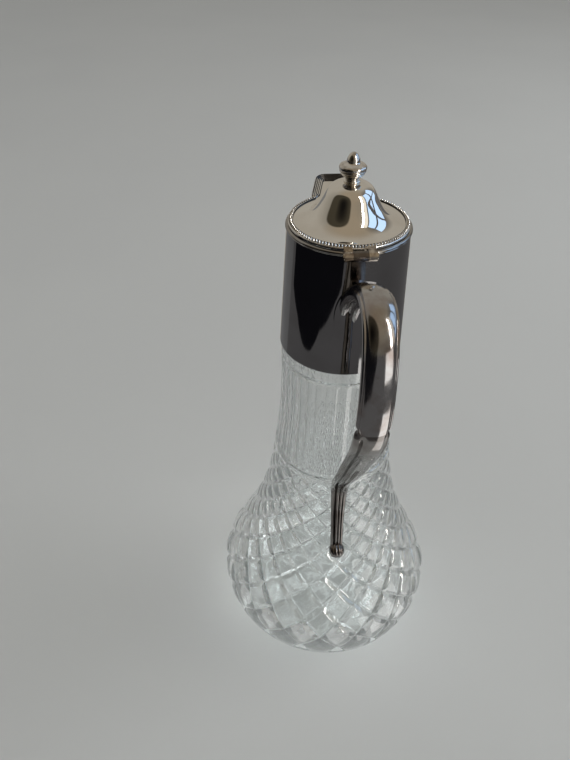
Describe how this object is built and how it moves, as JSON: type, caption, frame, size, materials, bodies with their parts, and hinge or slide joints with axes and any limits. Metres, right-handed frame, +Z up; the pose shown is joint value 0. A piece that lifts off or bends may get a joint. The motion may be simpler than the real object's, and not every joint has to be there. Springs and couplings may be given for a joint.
{
  "type": "claret jug",
  "caption": "Tall cut-glass claret jug with a silver-plated collar, pouring lip, hinged domed lid with an urn knob, and a long looped handle with a free scrolled tail.",
  "frame": {"origin": "centre of the flat foot, on the jug's axis, at the surface it stands on", "axes": "+Z up along the jug's axis, +X towards the spout, handle towards -X, hinge pin along Y"},
  "size_m": [0.1429, 0.1254, 0.2899],
  "materials": {
    "cut_glass": "clear, cut and polished",
    "silver_plate": "polished silver plate, lightly tarnished",
    "plaster": "matt plaster",
    "brass": "turned, unplated"
  },
  "bodies": {
    "jug": {"glass_body": "cut_glass", "neck_cement": "plaster", "mouth_ring": "silver_plate", "collar": "silver_plate", "collar_top_rim": "silver_plate", "spout": "silver_plate", "collar_hinge_knuckle": "silver_plate", "handle_mount_plate": "silver_plate", "handle_upper": "silver_plate", "handle_lower": "silver_plate"},
    "lid": {"lid": "silver_plate", "lid_bead_border": "silver_plate", "lid_hinge_lugs": "silver_plate", "hinge_pin": "silver_plate", "finial": "silver_plate", "finial_base": "silver_plate", "finial_stud": "brass", "finial_washer": "brass", "finial_nut": "brass"}
  },
  "joints": [
    {"name": "lid_hinge", "type": "hinge", "parent": "jug", "child": "lid", "pos_m": [-0.0287, 0, 0.2616], "axis": [0, -1, 0], "range_deg": [0, 105]}
  ]
}
